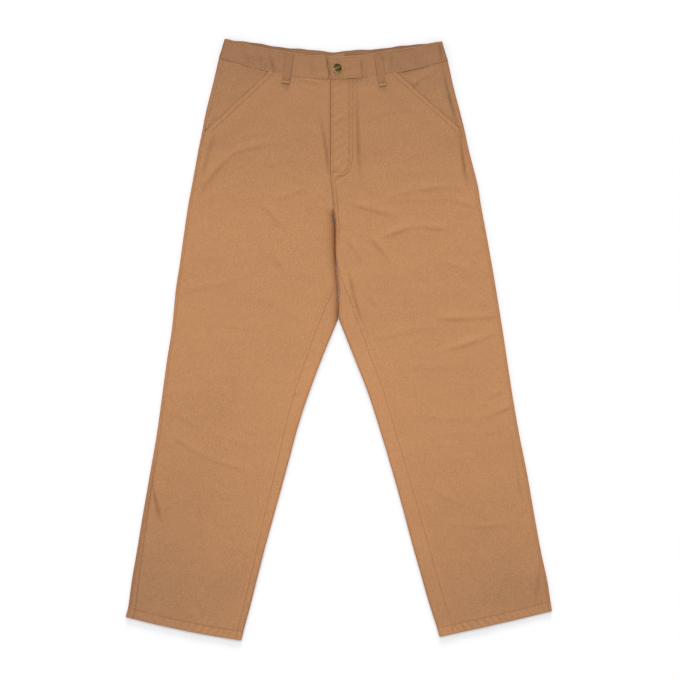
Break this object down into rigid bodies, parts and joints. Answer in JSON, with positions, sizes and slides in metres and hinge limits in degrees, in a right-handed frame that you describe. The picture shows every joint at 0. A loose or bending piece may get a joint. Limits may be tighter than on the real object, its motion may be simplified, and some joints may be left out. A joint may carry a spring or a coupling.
{
  "type": "carpenter pants",
  "caption": "Straight-leg carpenter pants of heavy cotton duck, lying flat on their back, with slanted front pockets, belt loops and a shank button.",
  "frame": {"origin": "middle of the bounding box on the underside, which lies on the surface", "axes": "+Z out of the surface that the pants lie on, +Y from the hems up to the waistband, +X towards the wearer's left"},
  "size_m": [0.7984, 1.1242, 0.0136],
  "materials": {
    "duck": "matte woven duck, light brown",
    "band_duck": "matte woven duck, folded double, light brown",
    "brass": "antique, brushed rim"
  },
  "bodies": {
    "root": {"front_panel_r": "duck", "front_panel_l": "duck", "back_panel_r": "duck", "back_panel_l": "duck", "pocket_facing_r": "duck", "pocket_facing_l": "duck", "waistband": "band_duck", "belt_loop_front_r": "band_duck", "belt_loop_front_l": "band_duck", "belt_loop_back_r": "band_duck", "belt_loop_back_c": "band_duck", "belt_loop_back_l": "band_duck", "button": "brass"}
  },
  "joints": []
}
